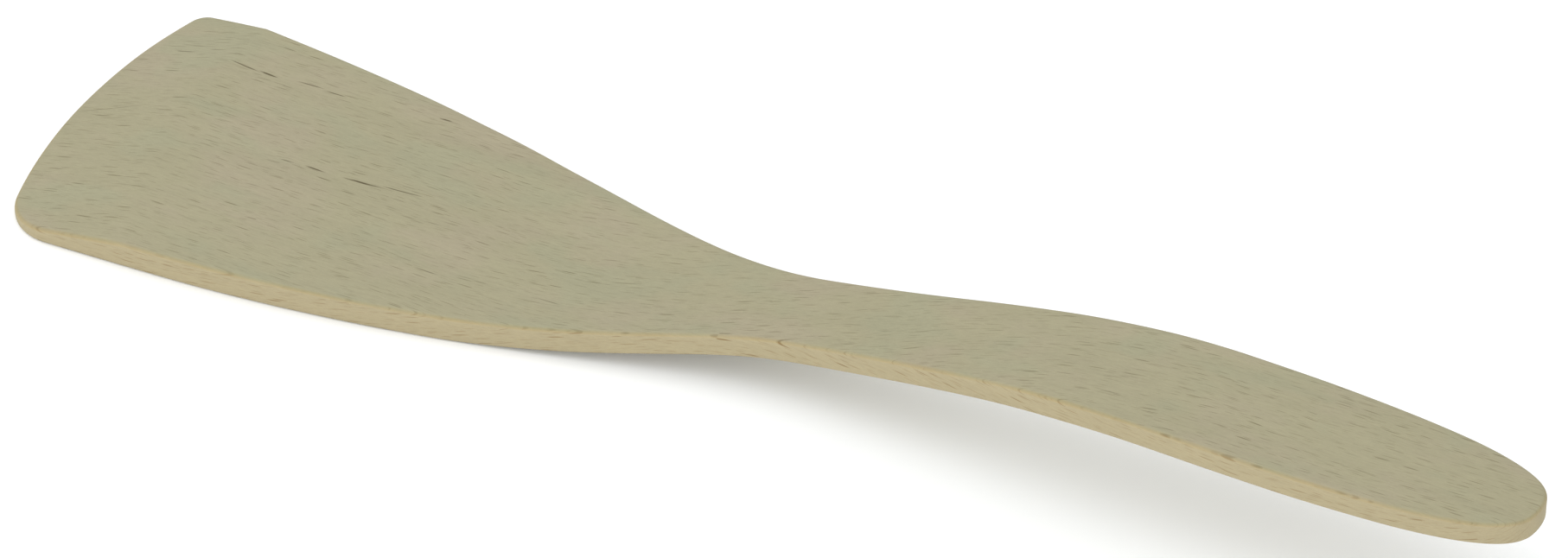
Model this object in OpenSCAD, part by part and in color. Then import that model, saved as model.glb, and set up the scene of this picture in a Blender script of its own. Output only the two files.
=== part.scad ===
// Wooden spatula, sawn and sanded from one piece of beech.
// The plan outline tapers from a broad blade to a slim neck and swells again into the
// handle. Seen from the side the neck rises in an S, so the handle lies above the blade.
// +X runs from the front edge to the end of the handle and +Z is up.
// The blade's flat underside lies on Z = 0.

/* [Overall] */
// Length from the middle of the front edge to the end of the handle
total_l = 300; // [270:1:330]

/* [Blade] */
// Width across the front corners
blade_w = 70; // [60:0.5:80]
// Thickness of the flat part
blade_t = 5.5; // [4.5:0.1:7]
// How far the middle of the front edge stands ahead of its ends
front_bow = 6; // [3:0.5:9]
// Radius of the two front corners
corner_r = 8.4; // [5:0.1:11]
// Angle at which each side still spreads where it meets the corner
side_spread = 4.3; // [2:0.1:6]
// Length over which the sides run almost straight behind the bevel
side_reach = 73; // [60:1:85]

/* [Front bevel] */
// Length of the bevel on the upper face, which follows the bowed front edge
bevel_l = 26; // [16:1:36]
// Thickness that the bevel leaves at the front edge
edge_t = 2.2; // [1.8:0.1:3.4]

/* [Rise of the neck] */
// Length of the flat underside, from the front edge to where it starts to lift
flat_l = 90; // [70:1:100]
// Length over which it lifts
rise_l = 148.5; // [130:0.5:170]
// Length of each of the two bends in which the rise starts and ends
bend_l = 47.5; // [30:0.5:60]
// Height of the handle's underside above the blade's
rise_h = 22.3; // [12:0.1:30]

/* [Neck] */
// Width at the narrowest place
neck_w = 19.7; // [15:0.1:24]
// Distance of the narrowest place from the end of the handle
neck_at = 143; // [130:1:155]
// Length over which the neck stays slim towards the handle
neck_reach = 29; // [15:1:35]
// Length over which the neck stays slim towards the blade
neck_blade_reach = 29; // [20:1:38]

/* [Handle] */
// Greatest width
handle_w = 26.8; // [22:0.1:32]
// Thickness
handle_t = 4.8; // [4:0.1:6.5]
// Distance of the widest place from the end of the handle
widest_at = 60; // [56:1:68]
// Length over which the handle stays wide towards the neck
wide_reach = 24; // [15:1:35]
// Length over which the handle stays wide towards its end
wide_end_reach = 53.3; // [44:0.1:55]
// Half width over which the end of the handle runs square across
end_reach = 7.2; // [5:0.1:9]

/* [Edges] */
// Radius that eases the upper edges
upper_ease = 0.9; // [0.4:0.1:1.1]
// Radius that eases the lower edges
lower_ease = 0.6; // [0.3:0.1:0.7]

/* [Hidden] */

beech = [0.72, 0.67, 0.54];

// Points along each stretch of the outline and of an eased edge
handle_steps = 13;
neck_steps = 10;
blade_steps = 16;
straight_steps = 3;
corner_steps = 6;
ease_steps = 3;
// Faces across the width
columns = 10;
// Share of the handle's curve that forms its blunt end
end_share = 0.14;

end_x = total_l / 2;
front_x = -total_l / 2;
lift_x = front_x + flat_l;
rise_slope = rise_h / (rise_l - bend_l);

// The bowed front edge is an arc about a point on the middle line
front_r = (pow(blade_w / 2, 2) + pow(front_bow, 2)) / (2 * front_bow);
front_centre = [front_x + front_r, 0];

// The corner arc touches the front arc inside, and the straight side
corner_y = blade_w / 2 - corner_r * cos(side_spread);
corner_centre = [front_centre.x - sqrt(pow(front_r - corner_r, 2) - pow(corner_y, 2)), corner_y];
corner_from = 90 - side_spread;
corner_to = atan2(corner_y, corner_centre.x - front_centre.x);
corner_start = corner_centre + corner_r * [cos(corner_from), sin(corner_from)];

// The side runs back from the corner to the heel of the bevel, where the sides start to curve
side_back = [cos(side_spread), -sin(side_spread)];
from_heel_arc = corner_start - front_centre - [bevel_l, 0];
heel_b = side_back * from_heel_arc;
heel_c = from_heel_arc * from_heel_arc - pow(front_r, 2);
heel = corner_start + side_back * (-heel_b - sqrt(pow(heel_b, 2) - heel_c));

widest = [end_x - widest_at, handle_w / 2];
neck = [end_x - neck_at, neck_w / 2];

// Point on the cubic curve from a to d that leaves towards b and arrives from c
function curve(a, b, c, d, t) =
    pow(1 - t, 3) * a + 3 * pow(1 - t, 2) * t * b + 3 * (1 - t) * t * t * c + pow(t, 3) * d;

function unit(v) = v / norm(v);
function smooth(t) = t <= 0 ? 0 : t >= 1 ? 1 : t * t * (3 - 2 * t);

// One side of the outline, from the end of the handle to the front edge
handle_side = [
    for (i = [0:handle_steps])
        curve([end_x, 0], [end_x, end_reach], widest + [wide_end_reach, 0], widest,
              end_share + (1 - end_share) * i / handle_steps)
];
neck_side = [
    for (i = [1:neck_steps])
        curve(widest, widest - [wide_reach, 0], neck + [neck_reach, 0], neck, i / neck_steps)
];
blade_side = [
    for (i = [1:blade_steps])
        curve(neck, neck - [neck_blade_reach, 0], heel + side_reach * side_back, heel, i / blade_steps)
];
straight_side = [
    for (i = [1:straight_steps])
        heel + (corner_start - heel) * i / straight_steps
];
corner_side = [
    for (i = [1:corner_steps])
        let (a = corner_from + (corner_to - corner_from) * i / corner_steps)
        corner_centre + corner_r * [cos(a), sin(a)]
];
side = concat(handle_side, neck_side, blade_side, straight_side, corner_side);
last = len(side) - 1;

// X of the front arc, drawn in by inset, at the distance y from the middle line
function front_at(y, inset = 0) = front_centre.x - sqrt(pow(front_r - inset, 2) - y * y);

// Height of the underside
function under_z(x) =
    let (s = x - lift_x)
    s <= 0 ? 0
    : s < bend_l ? rise_slope * s * s / (2 * bend_l)
    : s < rise_l - bend_l ? rise_slope * (s - bend_l / 2)
    : s < rise_l ? rise_h - rise_slope * pow(rise_l - s, 2) / (2 * bend_l)
    : rise_h;

// Thickness, which thins into the handle over the first half of the rise and along the bevel
function thickness(p) =
    let (plain = blade_t + (handle_t - blade_t) * smooth(2 * (p.x - lift_x) / rise_l))
    let (bevel = 1 - (p.x - front_at(p.y)) / bevel_l)
    plain - (blade_t - edge_t) * max(0, bevel);

// A row of points runs across the piece between two opposite points of the outline. At the
// end of the handle it follows the blunt end. On the bevel it follows the front arc, and
// behind the bevel it straightens out by the neck.
function row_bow(edge) =
    let (behind = edge.x - front_at(edge.y) - bevel_l)
    behind <= 0 ? 1 : max(0, 1 - behind / side_reach);
function row_point(edge, across, inset, blunt) =
    let (y = edge.y * across)
    [
        edge.x + blunt * (1 - across * across)
            + row_bow(edge) * (front_at(y, inset) - front_at(edge.y, inset)),
        y
    ];
function across(i) = 2 * i / columns - 1;

// The outline as a closed loop seen from above, anticlockwise from the end of the handle
outline = concat(
    [for (i = [0:columns]) row_point(side[0], across(i), 0, end_x - side[0].x)],
    [for (j = [1:last]) side[j]],
    [for (i = [columns - 1:-1:0]) row_point(side[last], across(i), 0, 0)],
    [for (j = [last - 1:-1:1]) [side[j].x, -side[j].y]]
);
loop = len(outline);
outline_out = [
    for (k = [0:loop - 1])
        let (before = unit(outline[k] - outline[(k + loop - 1) % loop]))
        let (after = unit(outline[(k + 1) % loop] - outline[k]))
        let (along = unit(before + after))
        [along.y, -along.x]
];
function inset_outline(inset) = [for (k = [0:loop - 1]) outline[k] - inset * outline_out[k]];

// Levels of the loft from the underside to the upper face: how far the outline is drawn in,
// the height above the face that the level follows, and whether that is the upper face
levels = concat(
    [
        for (i = [0:ease_steps])
            let (a = 90 * i / ease_steps)
            [lower_ease * (1 - sin(a)), lower_ease * (1 - cos(a)), 0]
    ],
    [
        for (i = [0:ease_steps])
            let (a = 90 * i / ease_steps)
            [upper_ease * (1 - cos(a)), -upper_ease * (1 - sin(a)), 1]
    ]
);
top = len(levels) - 1;
function lift(p, level) = [p.x, p.y, under_z(p.x) + level[1] + level[2] * thickness(p)];
function ring(level) = [for (p = inset_outline(level[0])) lift(p, level)];

// Points of a face inside its outline, row by row from the handle to the front
function face_points(level) =
    let (edge = inset_outline(level[0]))
    [
        for (j = [1:last - 1], i = [1:columns - 1])
            lift(row_point(edge[columns + j], across(i), level[0], 0), level)
    ];

// Number of the point in row j and column i: on the outline's ring, or among the inner points
function ring_place(j, i) =
    j == 0 ? i
    : i == columns ? columns + j
    : j == last ? 2 * columns + last - i
    : 2 * columns + 2 * last - j;
function face_place(j, i, ring_start, inner_start) =
    j == 0 || j == last || i == 0 || i == columns
        ? ring_start + ring_place(j, i)
        : inner_start + (j - 1) * (columns - 1) + i - 1;

// Two triangles for a patch whose corners run clockwise as seen from outside
function patch(a, b, c, d) = [[a, b, c], [a, c, d]];

module spatula() {
    rings = [for (level = levels) each ring(level)];
    under_points = face_points(levels[0]);
    upper_points = face_points(levels[top]);
    under_start = len(rings);
    upper_start = under_start + len(under_points);

    walls = [
        for (l = [0:top - 1], k = [0:loop - 1])
            let (low = l * loop)
            let (high = low + loop)
            let (next = (k + 1) % loop)
            each patch(low + k, high + k, high + next, low + next)
    ];
    under = [
        for (j = [0:last - 1], i = [0:columns - 1])
            each patch(
                face_place(j, i, 0, under_start),
                face_place(j, i + 1, 0, under_start),
                face_place(j + 1, i + 1, 0, under_start),
                face_place(j + 1, i, 0, under_start)
            )
    ];
    upper = [
        for (j = [0:last - 1], i = [0:columns - 1])
            each patch(
                face_place(j, i, top * loop, upper_start),
                face_place(j + 1, i, top * loop, upper_start),
                face_place(j + 1, i + 1, top * loop, upper_start),
                face_place(j, i + 1, top * loop, upper_start)
            )
    ];
    color(beech)
        polyhedron(
            points = concat(rings, under_points, upper_points),
            faces = concat(walls, under, upper)
        );
}

spatula();
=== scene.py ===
"""A wooden spatula of sanded beech on a pale floor, in plain soft studio light."""

import logging
import math
from dataclasses import dataclass, field
from enum import Enum
from typing import Any, Iterable, Sequence

import bmesh
import bpy
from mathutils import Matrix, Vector
from mathutils import noise as hand


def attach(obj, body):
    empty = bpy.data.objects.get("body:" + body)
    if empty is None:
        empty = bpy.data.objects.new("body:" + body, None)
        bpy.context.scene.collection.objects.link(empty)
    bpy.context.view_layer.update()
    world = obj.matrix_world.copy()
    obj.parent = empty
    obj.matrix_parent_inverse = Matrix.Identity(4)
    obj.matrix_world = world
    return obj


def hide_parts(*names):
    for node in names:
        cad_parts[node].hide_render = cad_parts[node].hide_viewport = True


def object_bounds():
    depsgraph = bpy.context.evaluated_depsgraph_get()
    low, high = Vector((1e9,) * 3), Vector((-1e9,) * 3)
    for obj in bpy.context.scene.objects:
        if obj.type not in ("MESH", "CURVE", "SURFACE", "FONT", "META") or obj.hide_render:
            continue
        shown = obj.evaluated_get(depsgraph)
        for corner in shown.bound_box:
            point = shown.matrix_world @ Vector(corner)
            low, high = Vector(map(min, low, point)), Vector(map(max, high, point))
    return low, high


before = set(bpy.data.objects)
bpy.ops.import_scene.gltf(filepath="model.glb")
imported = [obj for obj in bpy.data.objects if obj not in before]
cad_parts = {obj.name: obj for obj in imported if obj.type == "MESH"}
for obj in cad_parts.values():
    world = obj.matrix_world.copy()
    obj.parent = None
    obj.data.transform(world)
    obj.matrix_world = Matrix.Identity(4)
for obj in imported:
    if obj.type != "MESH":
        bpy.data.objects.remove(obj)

MM = 0.001
CAD_LOW, CAD_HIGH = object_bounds()
LOG = logging.getLogger("spatula")

Point = tuple[float, float]
Colour = tuple[float, float, float]


class Side(Enum):
    """The two long sides of the spatula, as the sign of Y."""

    NEAR = -1
    FAR = 1


class Face(Enum):
    """The two broad faces."""

    UNDER = 0
    UPPER = 1


class Blend(Enum):
    """How one colour is laid over another."""

    MIX = "MIX"
    MULTIPLY = "MULTIPLY"


def smooth(t: float) -> float:
    """Ease from 0 to 1 without a corner at either end."""
    t = min(max(t, 0.0), 1.0)
    return t * t * (3 - 2 * t)


def cubic(a: Point, b: Point, c: Point, d: Point, t: float) -> Point:
    """Find a point on a cubic curve.

    Args:
        a: Where the curve starts.
        b: The point that it leaves towards.
        c: The point that it arrives from.
        d: Where the curve ends.
        t: The share of the way along, from 0 to 1.

    Returns:
        The point on the curve.
    """
    s = 1 - t
    weights = (s**3, 3 * s * s * t, 3 * s * t * t, t**3)
    return (
        sum(w * p[0] for w, p in zip(weights, (a, b, c, d))),
        sum(w * p[1] for w, p in zip(weights, (a, b, c, d))),
    )


@dataclass(frozen=True)
class Blade:
    """The broad front part, with its bowed and bevelled edge."""

    width: float = CAD_HIGH.y - CAD_LOW.y
    thickness: float = 5.5 * MM
    bow: float = 6 * MM
    reach: float = 73 * MM
    bevel: float = 26 * MM
    edge: float = 2.2 * MM


@dataclass(frozen=True)
class Neck:
    """The slim part between blade and handle."""

    width: float = 19.7 * MM
    from_end: float = 143 * MM
    reach_to_handle: float = 29 * MM


@dataclass(frozen=True)
class Handle:
    """The swelling grip with its blunt round end."""

    width: float = 26.8 * MM
    thickness: float = 4.8 * MM
    widest: float = 60 * MM
    reach_to_neck: float = 24 * MM
    end_share: float = 0.14


@dataclass(frozen=True)
class Flank:
    """What differs between the two long sides, since the piece was cut and sanded by hand.

    The corner is the radius of the front corner, the spread the angle at which the side meets
    it, and the bevel its length on the upper face there. The reaches say how far the side keeps
    its direction at the blade, at the neck and at the widest place of the handle. The end half
    is the half width over which the end of the handle runs square across.
    """

    side: Side
    corner: float
    spread: float
    bevel: float
    blade_reach: float
    neck_reach: float
    handle_reach: float
    end_half: float


@dataclass(frozen=True)
class Rise:
    """The S in which the neck lifts the handle above the blade."""

    start: float = CAD_LOW.x + 90 * MM
    length: float = 148.5 * MM
    bend: float = 47.5 * MM
    height: float = CAD_HIGH.z - Handle.thickness

    def lift(self, x: float) -> float:
        """Find how high the underside stands.

        Args:
            x: The place along the spatula.

        Returns:
            The height above the flat of the blade.
        """
        slope = self.height / (self.length - self.bend)
        s = x - self.start
        if s <= 0:
            return 0.0
        if s < self.bend:
            return slope * s * s / (2 * self.bend)
        if s < self.length - self.bend:
            return slope * (s - self.bend / 2)
        if s < self.length:
            return self.height - slope * (self.length - s) ** 2 / (2 * self.bend)
        return self.height


@dataclass(frozen=True)
class Sanding:
    """How far the edges are rounded, and how unevenly a hand does it."""

    upper: float = 0.9 * MM
    lower: float = 0.6 * MM
    unevenness: float = 0.22
    patch: float = 14 * MM
    wave: float = 0.05 * MM
    wave_length: float = 24 * MM
    margin: float = 0.5 * MM

    def share(self, place: Point, side_seed: float) -> float:
        """Vary the rounding along the edge.

        Args:
            place: The point of the outline.
            side_seed: A number that keeps the upper and lower edges apart.

        Returns:
            The factor for the radius there, about 1.
        """
        spot = Vector((place[0] / self.patch, place[1] / self.patch, side_seed))
        return 1 + self.unevenness * hand.noise(spot)

    def dip(self, place: Point, seed: float) -> float:
        """Give the shallow hollow, never a rise, that sanding leaves at a place on a face."""
        spot = Vector((place[0] / self.wave_length, place[1] / self.wave_length, seed))
        return self.wave * (0.5 + 0.5 * hand.noise(spot))


@dataclass(frozen=True)
class Fineness:
    """How many points each stretch of the mesh has."""

    handle: int = 56
    neck: int = 44
    blade: int = 64
    straight: int = 16
    corner: int = 16
    across: int = 44
    ease: int = 6
    wall: int = 4


@dataclass(frozen=True)
class Level:
    """One ring of the loft.

    Each field says how the ring differs from the outline: how far it is drawn in, how far it
    stands above the face that it follows, and its share of the way up the wall.
    """

    upper_in: float
    lower_in: float
    upper_drop: float
    lower_rise: float
    share: float
    margin: float = 0.0


@dataclass
class Outline:
    """The plan of the spatula, from the end of the handle to the front edge."""

    blade: Blade = field(default_factory=Blade)
    neck: Neck = field(default_factory=Neck)
    handle: Handle = field(default_factory=Handle)
    fine: Fineness = field(default_factory=Fineness)
    near: Flank = Flank(
        Side.NEAR, 10.4 * MM, math.radians(4.0), 26 * MM, 68.1 * MM, 27.3 * MM, 50.5 * MM, 8.2 * MM
    )
    far: Flank = Flank(
        Side.FAR, 3.6 * MM, math.radians(4.4), 16 * MM, 80.2 * MM, 30.3 * MM, 59.9 * MM, 5.7 * MM
    )

    def __post_init__(self) -> None:
        """Work out the arc of the front edge."""
        half = self.blade.width / 2
        self.front_radius = (half**2 + self.blade.bow**2) / (2 * self.blade.bow)
        self.front_centre = CAD_LOW.x + self.front_radius

    def front_at(self, y: float, inset: float = 0.0) -> float:
        """Give the X of the front arc, drawn in by inset, at the distance y from the middle."""
        return self.front_centre - math.sqrt((self.front_radius - inset) ** 2 - y * y)

    def behind(self, place: Point) -> float:
        """Give how far a place lies behind the front arc."""
        return place[0] - self.front_at(place[1])

    def bevel_at(self, y: float) -> float:
        """Give the length of the bevel at a distance from the middle line."""
        share = y / self.blade.width + 0.5
        return self.near.bevel + (self.far.bevel - self.near.bevel) * share

    def trace(self, flank: Flank) -> list[Point]:
        """Trace one long side.

        Args:
            flank: Which side to trace.

        Returns:
            The points from the end of the handle to the front edge.
        """
        blade, neck, handle, fine = self.blade, self.neck, self.handle, self.fine
        end = CAD_HIGH.x
        radius = flank.corner
        spread = flank.spread
        centre_y = blade.width / 2 - radius
        centre_x = self.front_centre - math.sqrt((self.front_radius - radius) ** 2 - centre_y**2)
        turn_from = math.pi / 2 - spread
        turn_to = math.atan2(centre_y, centre_x - self.front_centre)
        start = (centre_x + radius * math.cos(turn_from), centre_y + radius * math.sin(turn_from))
        back = (math.cos(spread), -math.sin(spread))
        heel = self._heel(start, back)
        widest = (end - handle.widest, handle.width / 2)
        slim = (end - neck.from_end, neck.width / 2)

        points = []
        for i in range(fine.handle + 1):
            t = handle.end_share + (1 - handle.end_share) * i / fine.handle
            towards = (widest[0] + flank.handle_reach, widest[1])
            points.append(cubic((end, 0), (end, flank.end_half), towards, widest, t))
        for i in range(1, fine.neck + 1):
            leave = (widest[0] - handle.reach_to_neck, widest[1])
            arrive = (slim[0] + neck.reach_to_handle, slim[1])
            points.append(cubic(widest, leave, arrive, slim, i / fine.neck))
        for i in range(1, fine.blade + 1):
            leave = (slim[0] - flank.neck_reach, slim[1])
            reach = flank.blade_reach
            arrive = (heel[0] + reach * back[0], heel[1] + reach * back[1])
            points.append(cubic(slim, leave, arrive, heel, i / fine.blade))
        for i in range(1, fine.straight + 1):
            t = i / fine.straight
            points.append((heel[0] + (start[0] - heel[0]) * t, heel[1] + (start[1] - heel[1]) * t))
        for i in range(1, fine.corner + 1):
            a = turn_from + (turn_to - turn_from) * i / fine.corner
            points.append((centre_x + radius * math.cos(a), centre_y + radius * math.sin(a)))
        return [(x, y * flank.side.value) for x, y in points]

    def _heel(self, start: Point, back: Point) -> Point:
        """Find where the straight side meets the heel of the bevel.

        Args:
            start: Where the corner turns into the side.
            back: The direction of the side, away from the front.

        Returns:
            The point on the side.
        """
        fx = start[0] - self.front_centre - self.blade.bevel
        fy = start[1]
        b = back[0] * fx + back[1] * fy
        c = fx * fx + fy * fy - self.front_radius**2
        way = -b - math.sqrt(b * b - c)
        return (start[0] + back[0] * way, start[1] + back[1] * way)


@dataclass
class Spatula:
    """The whole spatula, lofted from its plan and its side view as one piece of wood."""

    outline: Outline = field(default_factory=Outline)
    rise: Rise = field(default_factory=Rise)
    sanding: Sanding = field(default_factory=Sanding)
    name: str = "spatula_beech"

    def __post_init__(self) -> None:
        """Trace both sides once."""
        self.near = self.outline.trace(self.outline.near)
        self.far = self.outline.trace(self.outline.far)
        self.last = len(self.near) - 1
        self.across = self.outline.fine.across

    def thickness(self, place: Point) -> float:
        """Find the thickness of the wood.

        Args:
            place: The place seen from above.

        Returns:
            The distance from the underside to the upper face.
        """
        blade, handle = self.outline.blade, self.outline.handle
        towards_handle = smooth(2 * (place[0] - self.rise.start) / self.rise.length)
        plain = blade.thickness + (handle.thickness - blade.thickness) * towards_handle
        bevel = max(0.0, 1 - self.outline.behind(place) / self.outline.bevel_at(place[1]))
        return plain - (blade.thickness - blade.edge) * bevel

    def row_bow(self, edge: Point) -> float:
        """Give the share of the front arc's bow in the row of points at an edge point."""
        behind = self.outline.behind(edge) - self.outline.blade.bevel
        return 1.0 if behind <= 0 else max(0.0, 1 - behind / self.outline.blade.reach)

    def row_point(self, near: Point, far: Point, i: int, inset: float, blunt: float = 0.0) -> Point:
        """Find a point on the row that runs across the wood between two edge points.

        Args:
            near: The edge point on the near side.
            far: The edge point on the far side.
            i: The number of the point, from 0 at the near side.
            inset: How far the row is drawn in at the front.
            blunt: How far the middle of the row stands out at the end of the handle.

        Returns:
            The point seen from above.
        """
        t = i / self.across
        y = near[1] + (far[1] - near[1]) * t
        bows = self.row_bow(near), self.row_bow(far)
        bow = bows[0] + (bows[1] - bows[0]) * t
        front = self.outline.front_at
        base_near = near[0] - bow * front(near[1])
        base_far = far[0] - bow * front(far[1])
        base = base_near + (base_far - base_near) * t
        side = 2 * t - 1
        return (base + bow * front(y, inset) + blunt * (1 - side * side), y)

    def loop(self) -> list[Point]:
        """Join both sides and both ends into one closed outline, anticlockwise from above."""
        lean = self.far[0][0] - self.near[0][0]
        gap = CAD_HIGH.x - (self.near[0][0] + self.far[0][0]) / 2
        end_stands_out = (gap + math.sqrt(gap * gap - lean * lean / 4)) / 2
        n, last = self.across, self.last
        points = [
            self.row_point(self.near[0], self.far[0], i, 0, end_stands_out) for i in range(n + 1)
        ]
        points += [self.far[j] for j in range(1, last + 1)]
        points += [
            self.row_point(self.near[last], self.far[last], i, 0) for i in range(n - 1, -1, -1)
        ]
        points += [self.near[j] for j in range(last - 1, 0, -1)]
        return points

    @staticmethod
    def outward(points: Sequence[Point]) -> list[Vector]:
        """Find the direction straight out of a closed outline at each of its points.

        Args:
            points: The outline, anticlockwise.

        Returns:
            One unit vector for each point.
        """
        result = []
        for k, point in enumerate(points):
            here = Vector(point)
            before = (here - Vector(points[k - 1])).normalized()
            after = (Vector(points[(k + 1) % len(points)]) - here).normalized()
            along = (before + after).normalized()
            result.append(Vector((along.y, -along.x)))
        return result

    def levels(self) -> list[Level]:
        """List the rings of the loft from the underside to the upper face."""
        s, fine = self.sanding, self.outline.fine
        rings = [Level(0, s.lower, 0, 0, 0, s.margin)]
        for i in range(fine.ease + 1):
            a = math.pi / 2 * i / fine.ease
            rings.append(Level(0, s.lower * (1 - math.sin(a)), 0, s.lower * (1 - math.cos(a)), 0))
        for i in range(1, fine.wall):
            t = i / fine.wall
            rings.append(Level(0, 0, s.upper * t, s.lower * (1 - t), t))
        for i in range(fine.ease + 1):
            a = math.pi / 2 * i / fine.ease
            rings.append(Level(s.upper * (1 - math.cos(a)), 0, s.upper * (1 - math.sin(a)), 0, 1))
        rings.append(Level(s.upper, 0, 0, 0, 1, s.margin))
        return rings

    def place(self, point: Point, level: Level, upper: float, lower: float) -> Vector:
        """Lift a point of the plan to its ring.

        Args:
            point: The place seen from above.
            level: The ring that the point is on.
            upper: The unevenness of the upper edge there.
            lower: The unevenness of the lower edge there.

        Returns:
            The point in space.
        """
        height = self.thickness(point)
        if level.share == 1:
            height -= self.sanding.dip(point, Face.UPPER.value)
        z = self.rise.lift(point[0]) + level.share * height
        return Vector((point[0], point[1], z - level.upper_drop * upper + level.lower_rise * lower))

    def ring(self, level: Level) -> tuple[list[Point], list[Vector]]:
        """Draw the outline in for one ring and lift it.

        Args:
            level: The ring to make.

        Returns:
            The ring seen from above, and its points in space.
        """
        plan, lifted = [], []
        for k, (point, out) in enumerate(zip(self.closed, self.out)):
            upper, lower = self.shares[k]
            inset = level.upper_in * upper + level.lower_in * lower + level.margin
            drawn = (point[0] - inset * out.x, point[1] - inset * out.y)
            plan.append(drawn)
            lifted.append(self.place(drawn, level, upper, lower))
        return plan, lifted

    def face(self, plan: Sequence[Point], level: Level) -> list[Vector]:
        """Fill the inside of a face with rows of points.

        Args:
            plan: The face's edge ring seen from above.
            level: The ring's level, which the face shares.

        Returns:
            The inner points, row by row from the handle to the front.
        """
        inset = level.upper_in + level.lower_in + level.margin
        points = []
        for j in range(1, self.last):
            far = plan[self.across + j]
            near = plan[len(plan) - j]
            for i in range(1, self.across):
                points.append(self.place(self.row_point(near, far, i, inset), level, 1, 1))
        return points

    def grid(self, ring_start: int, inner_start: int, face: Face) -> Iterable[tuple[int, ...]]:
        """Join the points of a broad face into four-sided patches.

        Args:
            ring_start: The number of the first point of the face's edge ring.
            inner_start: The number of the first point inside the face.
            face: Which broad face it is.

        Yields:
            The point numbers of each patch, anticlockwise from outside.
        """
        n, last = self.across, self.last

        def number(j: int, i: int) -> int:
            """Number the point in row j and column i."""
            if j == 0:
                return ring_start + i
            if i == n:
                return ring_start + n + j
            if j == last:
                return ring_start + 2 * n + last - i
            if i == 0:
                return ring_start + 2 * n + 2 * last - j
            return inner_start + (j - 1) * (n - 1) + i - 1

        for j in range(last):
            for i in range(n):
                patch = (number(j, i), number(j, i + 1), number(j + 1, i + 1), number(j + 1, i))
                yield patch if face is Face.UPPER else patch[::-1]

    def build(self) -> bpy.types.Object:
        """Loft the mesh.

        Returns:
            The new object, in place.
        """
        self.closed = self.loop()
        self.out = self.outward(self.closed)
        share = self.sanding.share
        self.shares = [(share(p, Face.UPPER.value), share(p, Face.UNDER.value)) for p in self.closed]
        levels = self.levels()
        count = len(self.closed)
        rings = [self.ring(level) for level in levels]
        points = [p for _, lifted in rings for p in lifted]
        under = self.face(rings[0][0], levels[0])
        upper = self.face(rings[-1][0], levels[-1])
        under_start = len(points)
        upper_start = under_start + len(under)
        points += under + upper

        sheet = bmesh.new()
        corners = [sheet.verts.new(p) for p in points]
        for low in range(0, (len(levels) - 1) * count, count):
            for k in range(count):
                after = (k + 1) % count
                sheet.faces.new(
                    corners[i] for i in (low + k, low + after, low + count + after, low + count + k)
                )
        for patch in self.grid(0, under_start, Face.UNDER):
            sheet.faces.new(corners[i] for i in patch)
        for patch in self.grid((len(levels) - 1) * count, upper_start, Face.UPPER):
            sheet.faces.new(corners[i] for i in patch)
        bmesh.ops.recalc_face_normals(sheet, faces=sheet.faces)
        for patch in sheet.faces:
            patch.smooth = True
        mesh = bpy.data.meshes.new(self.name)
        sheet.to_mesh(mesh)
        sheet.free()
        spatula = bpy.data.objects.new(self.name, mesh)
        bpy.context.scene.collection.objects.link(spatula)
        LOG.info("%s: %d points, %d faces", self.name, len(mesh.vertices), len(mesh.polygons))
        return spatula


class Wire:
    """A shader socket that can be written into sums."""

    def __init__(self, sheet: "Sheet", socket: bpy.types.NodeSocket) -> None:
        """Keep the socket and the node tree that it belongs to."""
        self.sheet = sheet
        self.socket = socket

    def __add__(self, other: "Wire | float") -> "Wire":
        """Add."""
        return self.sheet.sum("ADD", self, other)

    __radd__ = __add__

    def __sub__(self, other: "Wire | float") -> "Wire":
        """Take away."""
        return self.sheet.sum("SUBTRACT", self, other)

    def __rsub__(self, other: float) -> "Wire":
        """Take this from a number."""
        return self.sheet.sum("SUBTRACT", other, self)

    def __mul__(self, other: "Wire | float") -> "Wire":
        """Multiply."""
        return self.sheet.sum("MULTIPLY", self, other)

    __rmul__ = __mul__

    def __truediv__(self, other: "Wire | float") -> "Wire":
        """Divide."""
        return self.sheet.sum("DIVIDE", self, other)

    def __pow__(self, power: float) -> "Wire":
        """Raise to a power."""
        return self.sheet.sum("POWER", self, power)

    def __abs__(self) -> "Wire":
        """Drop the sign."""
        return self.sheet.sum("ABSOLUTE", self)


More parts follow.
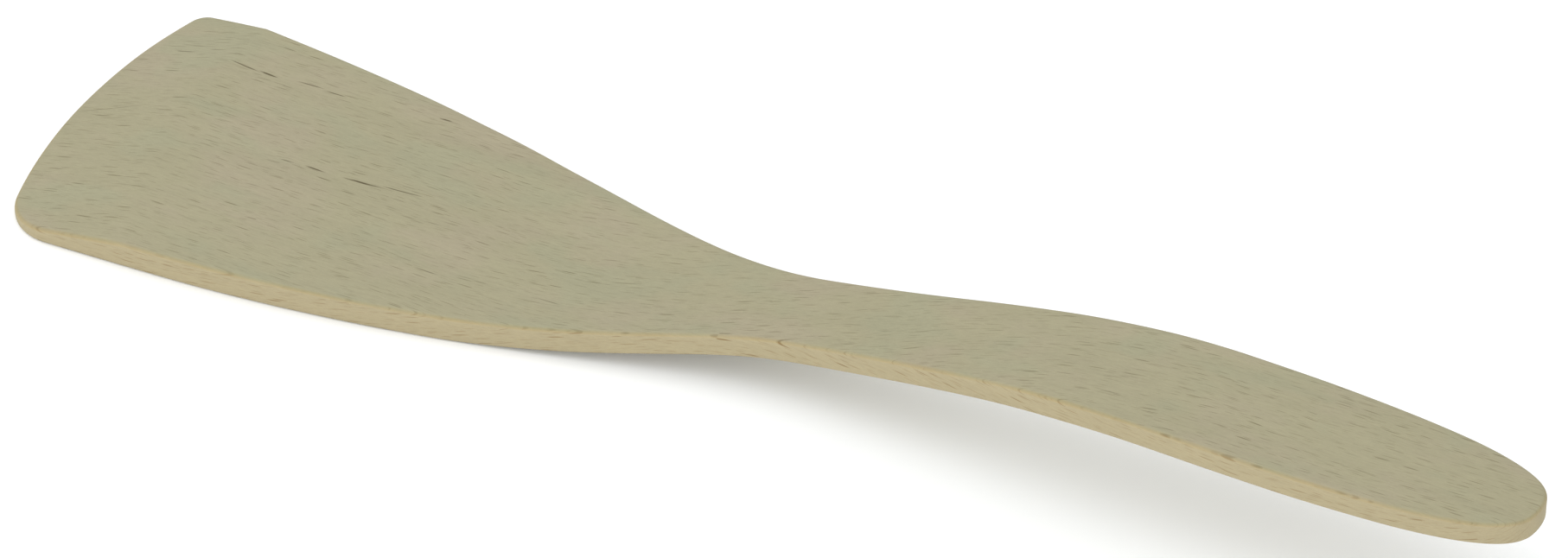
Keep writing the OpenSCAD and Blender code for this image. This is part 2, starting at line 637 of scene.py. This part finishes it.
class Sheet:
    """The node tree of one material, with short ways to add to it."""

    def __init__(self, name: str) -> None:
        """Start an empty material.

        Args:
            name: The material's name.
        """
        self.material = bpy.data.materials.new(name)
        self.material.use_nodes = True
        self.tree = self.material.node_tree
        self.tree.nodes.clear()

    def node(
        self,
        kind: str,
        settings: dict[str, Any] | None = None,
        inputs: dict[str | int, Any] | None = None,
    ) -> bpy.types.Node:
        """Add a node.

        Args:
            kind: Blender's type name of the node.
            settings: The node's own settings, which are made before its sockets are filled.
            inputs: A value or a wire for each socket, by name or number.

        Returns:
            The new node.
        """
        node = self.tree.nodes.new(kind)
        for key, value in (settings or {}).items():
            setattr(node, key, value)
        for key, value in (inputs or {}).items():
            if isinstance(value, Wire):
                self.tree.links.new(value.socket, node.inputs[key])
            else:
                node.inputs[key].default_value = value
        return node

    def out(self, node: bpy.types.Node, socket: str | int = 0) -> Wire:
        """Wrap one output of a node."""
        return Wire(self, node.outputs[socket])

    def sum(self, operation: str, *terms: Wire | float) -> Wire:
        """Add a Math node for an operation on numbers."""
        node = self.node("ShaderNodeMath", {"operation": operation}, dict(enumerate(terms)))
        return self.out(node)

    def vector(self, operation: str, *terms: Any, result: str = "Vector") -> Wire:
        """Add a Vector Math node for an operation on vectors."""
        node = self.node("ShaderNodeVectorMath", {"operation": operation}, dict(enumerate(terms)))
        return self.out(node, result)

    def stretch(self, place: Wire, scale: Sequence[float]) -> Wire:
        """Scale a place by a factor for each axis."""
        return self.vector("MULTIPLY", place, tuple(scale))

    def axis(self, place: Wire, index: int) -> Wire:
        """Take one number out of a vector."""
        return self.out(self.node("ShaderNodeSeparateXYZ", None, {0: place}), index)

    def ramp(self, value: Wire, low: float, high: float, at_low: float = 0, at_high: float = 1) -> Wire:
        """Turn a range of values smoothly into another.

        Args:
            value: What is turned.
            low: The value that gives at_low.
            high: The value that gives at_high.
            at_low: The result at low and below.
            at_high: The result at high and above.

        Returns:
            The result.
        """
        inputs = {0: value, 1: low, 2: high, 3: at_low, 4: at_high}
        return self.out(self.node("ShaderNodeMapRange", {"interpolation_type": "SMOOTHSTEP"}, inputs))

    def cloud(self, place: Wire, detail: float = 2, roughness: float = 0.5, lift: float = 0.0) -> Wire:
        """Give soft random variation from 0 to 1 at a scaled place.

        Args:
            place: The place, scaled so that a cloud is about one unit wide.
            detail: How many finer layers there are.
            roughness: How strong the finer layers are.
            lift: A number that moves this cloud away from the others.

        Returns:
            The value.
        """
        moved = self.vector("ADD", place, (lift, lift * 1.7, lift * 0.6))
        inputs = {"Vector": moved, "Scale": 1.0, "Detail": detail, "Roughness": roughness}
        return self.out(self.node("ShaderNodeTexNoise", {"noise_dimensions": "3D"}, inputs), 0)

    def lay(self, under: Any, over: Any, amount: Wire | float, how: Blend = Blend.MIX) -> Wire:
        """Lay one colour over another.

        Args:
            under: The colour below.
            over: The colour above.
            amount: How much of it shows.
            how: The way in which the two are combined.

        Returns:
            The colour.
        """
        mix = self.node("ShaderNodeMix", {"data_type": "RGBA", "blend_type": how.value})
        for socket, value in ((0, amount), (6, under), (7, over)):
            if isinstance(value, Wire):
                self.tree.links.new(value.socket, mix.inputs[socket])
            elif socket:
                mix.inputs[socket].default_value = (*value, 1)
            else:
                mix.inputs[socket].default_value = value
        return self.out(mix, 2)

    def close(self, surface: bpy.types.Node) -> bpy.types.Material:
        """Send a shader to the output and hand over the material."""
        self.node("ShaderNodeOutputMaterial", None, {0: self.out(surface)})
        return self.material


@dataclass(frozen=True)
class Flecks:
    """Short dark dashes that the rays of the wood leave where a surface cuts them.

    The first three sizes are the spacing along the grain, out along the rays, and from ray to
    ray. The next three are the share of that spacing which a ray takes up.
    """

    spacing: tuple[float, float, float]
    size: tuple[float, float, float]
    strength: float
    seed: float

    def draw(self, sheet: Sheet, place: Wire) -> Wire:
        """Draw the dashes.

        Args:
            sheet: The material's nodes.
            place: The place in the wood's own directions.

        Returns:
            How dark the dash is, from 0 to strength.
        """
        spread = sheet.stretch(place, [1 / s for s in self.spacing])
        spread = sheet.vector("ADD", spread, (self.seed, self.seed * 2.3, self.seed * 0.7))
        cells = sheet.node(
            "ShaderNodeTexVoronoi",
            {"voronoi_dimensions": "3D", "feature": "F1"},
            {"Vector": spread, "Scale": 1.0, "Randomness": 1.0},
        )
        offset = sheet.vector("SUBTRACT", spread, sheet.out(cells, "Position"))
        offset = sheet.stretch(offset, [1 / s for s in self.size])
        distance = sheet.vector("LENGTH", offset, result="Value")
        chance = sheet.axis(sheet.out(cells, "Color"), 0)
        return sheet.ramp(distance, 0.45, 1.0, 1, 0) * (chance**1.3) * self.strength


@dataclass(frozen=True)
class Streak:
    """One strong dark streak that is where the real board has it."""

    along: float
    across: float
    length: float
    thickness: float
    strength: float
    turn: float = 0.0
    long_reach: float = 0.66
    thick_reach: float = 0.60
    fraying: float = 0.8
    core: float = 0.35
    rim: float = 1.05

    def draw(self, sheet: Sheet, place: Wire, fray: Wire) -> Wire:
        """Draw the streak.

        Args:
            sheet: The material's nodes.
            place: The place on the object, in metres.
            fray: Random variation that breaks up its edge.

        Returns:
            How dark the streak is.
        """
        moved = sheet.vector("SUBTRACT", place, (self.along, self.across, 0))
        c, s = math.cos(self.turn), math.sin(self.turn)
        a = sheet.vector("DOT_PRODUCT", moved, (c, s, 0), result="Value")
        b = sheet.vector("DOT_PRODUCT", moved, (-s, c, 0), result="Value")
        a = a / (self.length * self.long_reach)
        b = b / (self.thickness * self.thick_reach)
        distance = (a * a + b * b) ** 0.5 + (fray - 0.5) * self.fraying
        return sheet.ramp(distance, self.core, self.rim, 1, 0) * self.strength


@dataclass(frozen=True)
class Figure:
    """Soft clouds of variation in the wood.

    The scale says how many clouds there are in each metre along the grain, out along the rays
    and from ray to ray. The depth is the change of shade from the darkest to the palest place.
    """

    scale: tuple[float, float, float]
    detail: float
    roughness: float = 0.5
    lift: float = 0.0
    depth: float = 0.0

    def draw(self, sheet: Sheet, place: Wire) -> Wire:
        """Draw the clouds.

        Args:
            sheet: The material's nodes.
            place: The place in the wood's own directions.

        Returns:
            The value, from 0 to 1.
        """
        scaled = sheet.stretch(place, self.scale)
        return sheet.cloud(scaled, self.detail, self.roughness, self.lift)

    def shade(self, value: Wire) -> Wire:
        """Turn drawn clouds into a change of shade about zero."""
        return (value - 0.5) * self.depth


@dataclass(frozen=True)
class Sheen:
    """How rough the sanded surface is, and what each layer adds to that or takes away."""

    base: float = 0.68
    fibre: float = 0.14
    flecks: float = 0.08
    rim: float = 0.10
    specular: float = 0.22


@dataclass(frozen=True)
class Relief:
    """How high or deep each layer lies in the surface, as shares of the depth."""

    fibre: float = 0.5
    pores: float = 0.35
    flecks: float = 0.7
    streaks: float = 0.6
    strength: float = 0.35
    depth: float = 0.06 * MM


@dataclass(frozen=True)
class Beech:
    """Sanded, unoiled beech: pale grey-brown faces, warmer sawn sides that are also painted lighter as
    painted light, fine dark flecks and painted shade along the rounded edges.
    """

    face: Colour = (0.314, 0.286, 0.183)
    rosy: Colour = (0.320, 0.282, 0.190)
    green: Colour = (0.302, 0.286, 0.185)
    # Warmer tone of the sawn sides, and painted light as well: it is lighter than the faces to stand
    # for the extra light that falls on the walls.
    side: Colour = (0.358, 0.304, 0.187)
    fleck: Colour = (0.56, 0.53, 0.46)
    warm_fleck: Colour = (0.54, 0.40, 0.25)
    # Painted shade: a darker, warmer colour multiplied into the rounded edges where a face turns into a
    # wall.
    rim: Colour = (0.965, 0.905, 0.77)
    streak: Colour = (0.30, 0.265, 0.20)
    ray_turn: float = math.radians(43)
    grain_turn: float = math.radians(2.6)
    side_tilt: tuple[float, float] = (0.45, 0.86)
    rim_shade_top: tuple[float, float] = (0.84, 0.998)
    rim_shade_foot: tuple[float, float] = (0.20, 0.6)
    upper_tilt: tuple[float, float] = (0.4, 0.7)
    rosy_range: tuple[float, float] = (0.42, 0.66)
    green_range: tuple[float, float] = (0.48, 0.66)
    green_share: float = 0.8
    rim_patch_range: tuple[float, float] = (0.2, 0.7)
    rim_shade_least: float = 0.5
    shade: float = 1.01
    waver: Figure = Figure((60, 150, 150), 1, depth=1.1 * MM)
    clouds: Figure = Figure((38, 75, 75), 3, 0.55, 4.0, 0.05)
    tints: Figure = Figure((55, 95, 95), 2, 0.5, 9.0)
    fibre: Figure = Figure((260, 2600, 2600), 3, 0.6, 2.0, 0.22)
    bands: Figure = Figure((14, 330, 330), 2, 0.5, 6.0, 0.12)
    pores: Figure = Figure((1500, 6000, 6000), 1, 0.5, 7.0, 0.13)
    rim_patches: Figure = Figure((90, 90, 90), 2, 0.5, 5.0)
    sheen: Sheen = Sheen()
    relief: Relief = Relief()
    name: str = "sanded_beech"

    layers: tuple[Flecks, ...] = (
        Flecks((4.4 * MM, 9 * MM, 0.85 * MM), (0.50, 0.6, 0.105), 0.72, 3.1),
        Flecks((2.6 * MM, 6 * MM, 0.50 * MM), (0.52, 0.6, 0.14), 0.55, 11.7),
        Flecks((6.0 * MM, 12 * MM, 2.4 * MM), (0.34, 0.6, 0.046), 0.9, 23.9),
    )
    streaks: tuple[Streak, ...] = ()

    def wood_place(self, sheet: Sheet, place: Wire) -> Wire:
        """Turn a place on the object into the wood's own directions.

        Args:
            sheet: The material's nodes.
            place: The place on the object, in metres.

        Returns:
            The place along the grain, out along the rays, and from ray to ray.
        """
        grain = Vector((math.cos(self.grain_turn), math.sin(self.grain_turn), 0))
        ray = Vector((0, math.cos(self.ray_turn), math.sin(self.ray_turn)))
        between = grain.cross(ray).normalized()
        parts = {
            i: sheet.vector("DOT_PRODUCT", place, tuple(way), result="Value")
            for i, way in enumerate((grain, ray, between))
        }
        return sheet.out(sheet.node("ShaderNodeCombineXYZ", None, parts))

    def dress(self, piece: bpy.types.Object) -> None:
        """Give a piece this finish.

        Args:
            piece: The piece of wood.
        """
        sheet = Sheet(self.name)
        spot = sheet.node("ShaderNodeTexCoord")
        place = sheet.out(spot, "Object")
        upward = sheet.axis(sheet.out(spot, "Normal"), 2)
        facing = abs(upward)
        wood = self.wood_place(sheet, place)
        sway = self.waver.shade(self.waver.draw(sheet, wood))
        bent = sheet.vector("ADD", wood, sheet.out(sheet.node("ShaderNodeCombineXYZ", None, {2: sway})))

        side = sheet.ramp(facing, *self.side_tilt, 1, 0)
        # The rim mask picks out the rounded edges by how far their surface is tilted, for the painted
        # shade there.
        rim = sheet.ramp(facing, *self.rim_shade_top, 1, 0) * sheet.ramp(facing, *self.rim_shade_foot)
        clouds = self.clouds.draw(sheet, wood)
        tints = self.tints.draw(sheet, wood)
        fibre = self.fibre.draw(sheet, bent)
        bands = self.bands.draw(sheet, bent)
        pores = self.pores.draw(sheet, bent)

        colour = sheet.lay(self.face, self.rosy, sheet.ramp(clouds, *self.rosy_range))
        green = sheet.ramp(tints, *self.green_range) * self.green_share
        colour = sheet.lay(colour, self.green, green)
        # The walls get the side colour: their warmer sawn tone, painted lighter than the faces as
        # painted light.
        colour = sheet.lay(colour, self.side, side)
        shade = self.shade + self.fibre.shade(fibre) + self.bands.shade(bands)
        shade = shade + self.pores.shade(pores) + self.clouds.shade(clouds)
        tone = sheet.node("ShaderNodeCombineXYZ", None, {0: shade, 1: shade, 2: shade})
        colour = sheet.lay(colour, sheet.out(tone), 1.0, Blend.MULTIPLY)

        dark: Wire | float = 0.0
        for layer in self.layers:
            dark = sheet.sum("MAXIMUM", dark, layer.draw(sheet, bent))
        dash = sheet.lay(self.fleck, self.warm_fleck, side)
        stained = sheet.lay(colour, dash, 1.0, Blend.MULTIPLY)
        colour = sheet.lay(colour, stained, dark)
        marks: Wire | float = 0.0
        for streak in self.streaks:
            marks = sheet.sum("MAXIMUM", marks, streak.draw(sheet, place, fibre))
        marks = marks * sheet.ramp(upward, *self.upper_tilt)
        deep = sheet.lay(colour, self.streak, 1.0, Blend.MULTIPLY)
        colour = sheet.lay(colour, deep, marks)
        # Soft patches make the painted rim shade stronger in some places than in others; the same mask
        # also makes the rounded edges a little less rough.
        rim_patchiness = self.rim_patches.draw(sheet, place)
        edge = rim * sheet.ramp(rim_patchiness, *self.rim_patch_range, self.rim_shade_least, 1.0)
        colour = sheet.lay(colour, sheet.lay(colour, self.rim, 1.0, Blend.MULTIPLY), edge)
        piece.data.materials.clear()
        piece.data.materials.append(self._finish(sheet, colour, (fibre, pores, dark, marks, edge)))
        LOG.info("%s: finished as %s", piece.name, self.name)

    def _finish(self, sheet: Sheet, colour: Wire, layers: tuple[Wire, ...]) -> bpy.types.Material:
        """Close the material with its roughness and relief.

        Args:
            sheet: The material's nodes.
            colour: The finished colour.
            layers: The fibres, pores, flecks, streaks and the painted shade of the rim.

        Returns:
            The material.
        """
        fibre, pores, dark, marks, edge = layers
        sheen, relief = self.sheen, self.relief
        rough = sheen.base + (fibre - 0.5) * sheen.fibre + dark * sheen.flecks - edge * sheen.rim
        height = (fibre - 0.5) * relief.fibre + (pores - 0.5) * relief.pores
        height = height - dark * relief.flecks - marks * relief.streaks
        inputs = {"Strength": relief.strength, "Distance": relief.depth, "Height": height}
        bump = sheet.node("ShaderNodeBump", None, inputs)
        inputs = {
            "Base Color": colour,
            "Roughness": rough,
            "Specular IOR Level": sheen.specular,
            "Normal": sheet.out(bump),
        }
        return sheet.close(sheet.node("ShaderNodeBsdfPrincipled", None, inputs))


@dataclass(frozen=True)
class PaleFloor:
    """A matt white studio floor, with its very faint mottling."""

    colour: Colour = (0.95, 0.95, 0.95)
    width: float = 30.0
    drop: float = 0.02 * MM
    mottle: float = 3.0
    faintness: float = 0.985
    roughness: float = 0.9
    name: str = "floor"

    def build(self) -> bpy.types.Object:
        """Lay the floor under the spatula.

        Returns:
            The floor.
        """
        half = self.width / 2
        sheet = bmesh.new()
        for x, y in ((-half, -half), (half, -half), (half, half), (-half, half)):
            sheet.verts.new((x, y, -self.drop))
        sheet.faces.new(sheet.verts)
        mesh = bpy.data.meshes.new(self.name)
        sheet.to_mesh(mesh)
        sheet.free()
        floor = bpy.data.objects.new(self.name, mesh)
        bpy.context.scene.collection.objects.link(floor)
        paint = Sheet("pale_floor")
        place = paint.out(paint.node("ShaderNodeTexCoord"), "Object")
        mottle = paint.cloud(paint.stretch(place, [self.mottle] * 3), 2)
        faint = tuple(c * self.faintness for c in self.colour)
        shader = paint.node(
            "ShaderNodeBsdfPrincipled",
            None,
            {
                "Base Color": paint.lay(self.colour, faint, mottle),
                "Roughness": self.roughness,
                "Specular IOR Level": 0.0,
            },
        )
        mesh.materials.append(paint.close(shader))
        LOG.info("floor: %.0f m wide", self.width)
        return floor


@dataclass(frozen=True)
class SoftLamp:
    """One square softbox that looks at a place on the spatula."""

    name: str
    place: tuple[float, float, float]
    width: float
    power: float
    colour: Colour
    target: tuple[float, float, float] = (0, 0, 0)

    def hang(self) -> bpy.types.Object:
        """Put up the lamp.

        Returns:
            The lamp.
        """
        light = bpy.data.lights.new(self.name, "AREA")
        light.size = self.width
        light.energy = self.power
        light.color = self.colour
        lamp = bpy.data.objects.new(self.name, light)
        lamp.location = self.place
        aim = Vector(self.target) - Vector(self.place)
        lamp.rotation_euler = aim.to_track_quat("-Z", "Y").to_euler()
        bpy.context.scene.collection.objects.link(lamp)
        return lamp


@dataclass(frozen=True)
class Studio:
    """Plain soft light all round, a large lamp overhead and a warmer one from the front."""

    sky: float = 1.03
    sky_colour: Colour = (0.97, 0.99, 1.0)
    lamps: tuple[SoftLamp, ...] = (
        SoftLamp("overhead_lamp", (-1.3, -0.6, 2.3), 2.4, 22, (0.97, 0.99, 1.0)),
        SoftLamp("front_lamp", (0.5, -2.2, 0.75), 1.6, 16, (1.0, 0.97, 0.92)),
    )

    def light(self) -> None:
        """Set the sky and hang the lamps."""
        world = bpy.data.worlds.new("studio")
        world.use_nodes = True
        sky = world.node_tree.nodes["Background"]
        sky.inputs["Color"].default_value = (*self.sky_colour, 1)
        sky.inputs["Strength"].default_value = self.sky
        bpy.context.scene.world = world
        for lamp in self.lamps:
            lamp.hang()
        bpy.context.scene.view_settings.view_transform = "Standard"
        LOG.info("studio: %d lamps", len(self.lamps))


@dataclass(frozen=True)
class PhotoCamera:
    """The camera of the photograph, as found from the outline of the spatula."""

    azimuth: float = math.radians(27.834)
    elevation: float = math.radians(40.732)
    distance: float = 1300 * MM
    right: float = 1.561 * MM
    up: float = 14.507 * MM
    picture_width: float = 1814
    focal_pixels: float = 8223.9
    sensor: float = 36.0

    def place(self) -> bpy.types.Object:
        """Set up the camera.

        Returns:
            The camera.
        """
        a, e = self.azimuth, self.elevation
        back = Vector((math.sin(a) * math.cos(e), -math.cos(a) * math.cos(e), math.sin(e)))
        right = Vector((math.cos(a), math.sin(a), 0))
        up = back.cross(right)
        data = bpy.data.cameras.new("photo_camera")
        data.sensor_fit = "HORIZONTAL"
        data.sensor_width = self.sensor
        data.lens = self.focal_pixels * self.sensor / self.picture_width
        data.clip_end = 100.0
        camera = bpy.data.objects.new("photo_camera", data)
        camera.location = back * self.distance + right * self.right + up * self.up
        camera.rotation_euler = back.to_track_quat("Z", "Y").to_euler()
        bpy.context.scene.collection.objects.link(camera)
        bpy.context.scene.camera = camera
        LOG.info("camera: lens %.1f mm at %.2f m", data.lens, self.distance)
        return camera


def board_streaks() -> tuple[Streak, ...]:
    """List the strong dark streaks of this board, by their real places on the blade."""
    row_by_far_side = (
        Streak(-139.9 * MM, 22.2 * MM, 3.6 * MM, 0.30 * MM, 0.65, math.radians(9)),
        Streak(-126.1 * MM, 21.9 * MM, 6.4 * MM, 0.34 * MM, 0.80, math.radians(-5)),
        Streak(-120.6 * MM, 21.8 * MM, 3.6 * MM, 0.42 * MM, 0.95, math.radians(-3)),
        Streak(-111.7 * MM, 22.8 * MM, 4.6 * MM, 0.34 * MM, 0.80, math.radians(3)),
        Streak(-106.0 * MM, 22.7 * MM, 4.0 * MM, 0.30 * MM, 0.75, math.radians(3)),
        Streak(-84.0 * MM, 25.7 * MM, 2.4 * MM, 0.40 * MM, 0.85, math.radians(6)),
    )
    row_in_the_middle = (
        Streak(-104.5 * MM, 1.3 * MM, 2.6 * MM, 0.30 * MM, 0.70, math.radians(3)),
        Streak(-98.6 * MM, 1.7 * MM, 4.0 * MM, 0.42 * MM, 0.90, math.radians(-1)),
        Streak(-89.1 * MM, 2.3 * MM, 7.0 * MM, 0.48 * MM, 1.00, math.radians(5)),
        Streak(-80.9 * MM, 3.6 * MM, 8.6 * MM, 0.32 * MM, 0.75, math.radians(6)),
    )
    lone_ones = (
        Streak(-144.5 * MM, 0.8 * MM, 10.0 * MM, 0.20 * MM, 0.40, math.radians(27)),
        Streak(-65.6 * MM, -14.1 * MM, 4.6 * MM, 0.26 * MM, 0.60, math.radians(2)),
        Streak(-40.9 * MM, -11.7 * MM, 3.8 * MM, 0.26 * MM, 0.55, math.radians(-1)),
    )
    return row_by_far_side + row_in_the_middle + lone_ones


def main() -> None:
    """Build the spatula and its studio, in order."""
    logging.basicConfig(level=logging.INFO, format="%(name)s: %(message)s")
    spatula = Spatula().build()
    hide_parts("spatula")
    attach(spatula, "root")
    Beech(streaks=board_streaks()).dress(spatula)
    PaleFloor().build()
    Studio().light()
    PhotoCamera().place()


if __name__ == "__main__":
    main()
